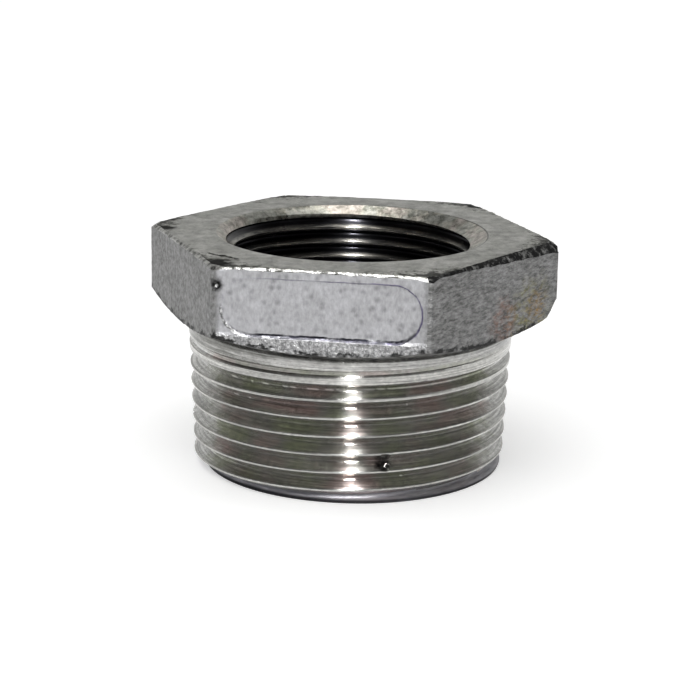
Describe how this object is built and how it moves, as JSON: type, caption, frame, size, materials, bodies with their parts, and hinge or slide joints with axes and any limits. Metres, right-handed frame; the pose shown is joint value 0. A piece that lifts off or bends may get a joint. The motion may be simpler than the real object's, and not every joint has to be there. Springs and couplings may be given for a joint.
{
  "type": "hexagon reducing bushing",
  "caption": "Stainless steel hexagon bushing that reduces a larger pipe thread to a smaller one: a taper thread outside, a parallel thread inside and a shallow hexagon head.",
  "frame": {"origin": "centre of the face at the thread end, which the bushing stands on", "axes": "+Z along the bore from the thread end to the hexagon's top face; +X towards a corner of the hexagon; -Y towards the flat with the bare recessed panel, which faces the camera"},
  "size_m": [0.0532, 0.046, 0.03],
  "materials": {
    "stainless_steel": "cast stainless steel, left rough on the head's edges, turned in the threads and on the faces, slightly mottled and worn"
  },
  "bodies": {
    "root": {"hex_bushing": "stainless_steel"}
  },
  "joints": []
}
